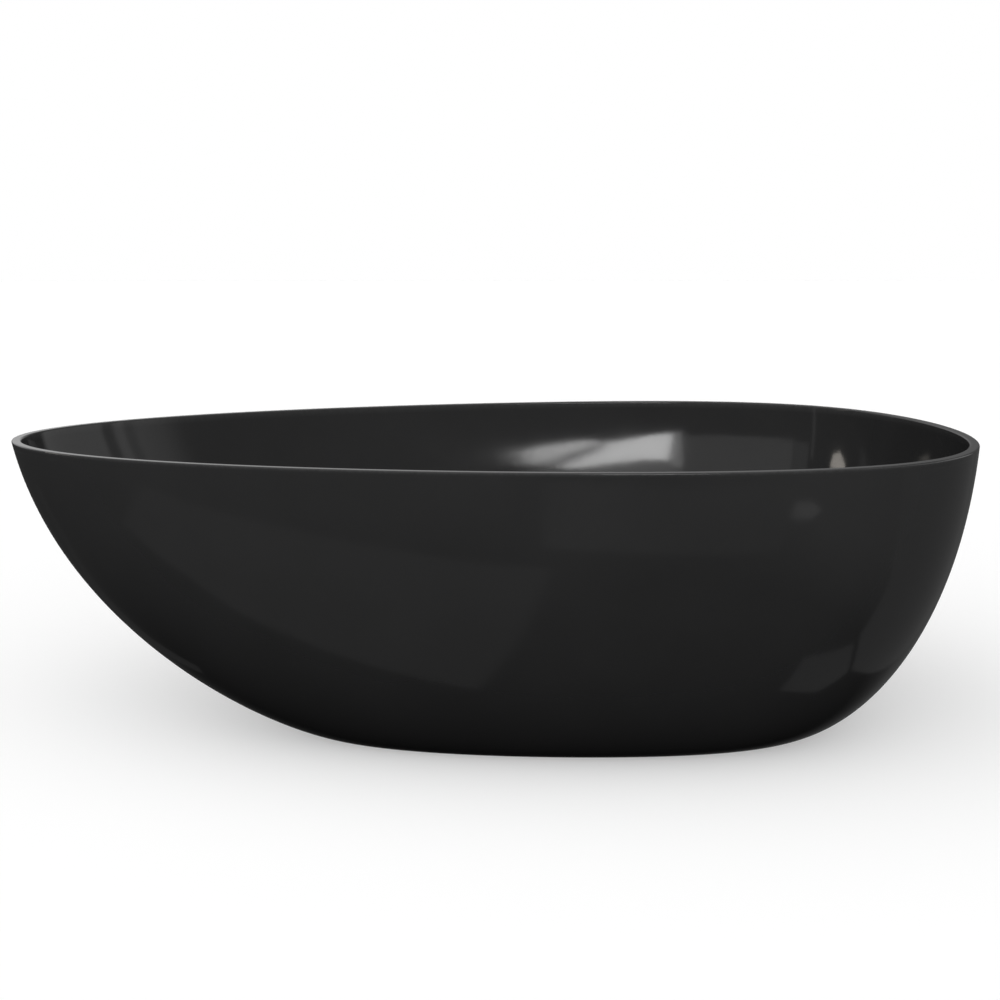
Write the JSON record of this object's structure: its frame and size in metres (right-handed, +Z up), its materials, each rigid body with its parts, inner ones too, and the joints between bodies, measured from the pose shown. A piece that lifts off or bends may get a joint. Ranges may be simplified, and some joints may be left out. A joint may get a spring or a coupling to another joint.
{
  "type": "freestanding bathtub",
  "caption": "Freestanding egg-plan bathtub with a flat thin rim, a long sloping end, a blunt end, a push plug and levelling feet.",
  "frame": {"origin": "on the floor under the middle of the rim's length and width", "axes": "+X along the length towards the blunt end, +Y across, +Z up"},
  "size_m": [1.6993, 0.9343, 0.571],
  "materials": {
    "bath_skin": "semi-gloss charcoal black, smooth, softly reflecting",
    "plywood": "bare plywood",
    "zinc_steel": "zinc plated",
    "foot_rubber": "matt black",
    "black_brass": "black coated, satin",
    "bare_brass": "bare, machined",
    "seal_rubber": "matt",
    "washer_plastic": "natural white",
    "cam_plastic": "red-brown moulded",
    "spring_steel": "bright wire"
  },
  "bodies": {
    "tub": {"inner_basin": "bath_skin", "outer_shell": "bath_skin", "floor_board": "plywood", "support_posts": "plywood", "base_frame": "zinc_steel", "foot_sleeves": "zinc_steel", "foot_lock_nuts": "zinc_steel", "waste_body": "black_brass", "drain_top_seal": "seal_rubber", "drain_lower_gasket": "seal_rubber", "friction_washer": "washer_plastic", "back_nut": "bare_brass", "cartridge_barrel": "washer_plastic", "plug_spring": "spring_steel"},
    "plug": {"plug_cap": "black_brass", "plug_stem": "bare_brass", "plug_seal": "seal_rubber"},
    "cam": {"plug_cam": "cam_plastic"},
    "foot_1": {"foot_pad_1": "foot_rubber"},
    "stud_1": {"foot_stud_1": "zinc_steel"},
    "foot_2": {"foot_pad_2": "foot_rubber"},
    "stud_2": {"foot_stud_2": "zinc_steel"},
    "foot_3": {"foot_pad_3": "foot_rubber"},
    "stud_3": {"foot_stud_3": "zinc_steel"},
    "foot_4": {"foot_pad_4": "foot_rubber"},
    "stud_4": {"foot_stud_4": "zinc_steel"},
    "foot_5": {"foot_pad_5": "foot_rubber"},
    "stud_5": {"foot_stud_5": "zinc_steel"}
  },
  "joints": [
    {"name": "plug_press", "type": "slide", "parent": "tub", "child": "plug", "axis": [0, 0, 1], "range_m": [-0.008, 0], "stiffness_N_per_m": 600, "springref_m": 0.01, "deforming": ["plug_spring"]},
    {"name": "cam_turn", "type": "hinge", "parent": "plug", "child": "cam", "pos_m": [0.455, 0, 0.118], "axis": [0, 0, 1], "range_deg": [-45, 0]},
    {"name": "foot_1_lift", "type": "slide", "parent": "tub", "child": "foot_1", "axis": [0, 0, 1], "range_m": [-0.01, 0]},
    {"name": "foot_1_turn", "type": "hinge", "parent": "foot_1", "child": "stud_1", "pos_m": [-0.26, 0, 0.01], "axis": [0, 0, 1], "range_deg": [-2058, 0]},
    {"name": "foot_2_lift", "type": "slide", "parent": "tub", "child": "foot_2", "axis": [0, 0, 1], "range_m": [-0.01, 0]},
    {"name": "foot_2_turn", "type": "hinge", "parent": "foot_2", "child": "stud_2", "pos_m": [-0.05, -0.09, 0.01], "axis": [0, 0, 1], "range_deg": [-2058, 0]},
    {"name": "foot_3_lift", "type": "slide", "parent": "tub", "child": "foot_3", "axis": [0, 0, 1], "range_m": [-0.01, 0]},
    {"name": "foot_3_turn", "type": "hinge", "parent": "foot_3", "child": "stud_3", "pos_m": [-0.05, 0.09, 0.01], "axis": [0, 0, 1], "range_deg": [-2058, 0]},
    {"name": "foot_4_lift", "type": "slide", "parent": "tub", "child": "foot_4", "axis": [0, 0, 1], "range_m": [-0.01, 0]},
    {"name": "foot_4_turn", "type": "hinge", "parent": "foot_4", "child": "stud_4", "pos_m": [0.37, -0.108, 0.01], "axis": [0, 0, 1], "range_deg": [-2058, 0]},
    {"name": "foot_5_lift", "type": "slide", "parent": "tub", "child": "foot_5", "axis": [0, 0, 1], "range_m": [-0.01, 0]},
    {"name": "foot_5_turn", "type": "hinge", "parent": "foot_5", "child": "stud_5", "pos_m": [0.37, 0.108, 0.01], "axis": [0, 0, 1], "range_deg": [-2058, 0]}
  ],
  "couplings": [
    {"joint": "cam_turn", "follows": "plug_press", "rad_per_m": 98.175},
    {"joint": "foot_1_turn", "follows": "foot_1_lift", "rad_per_m": 3590.4},
    {"joint": "foot_2_turn", "follows": "foot_2_lift", "rad_per_m": 3590.4},
    {"joint": "foot_3_turn", "follows": "foot_3_lift", "rad_per_m": 3590.4},
    {"joint": "foot_4_turn", "follows": "foot_4_lift", "rad_per_m": 3590.4},
    {"joint": "foot_5_turn", "follows": "foot_5_lift", "rad_per_m": 3590.4}
  ]
}
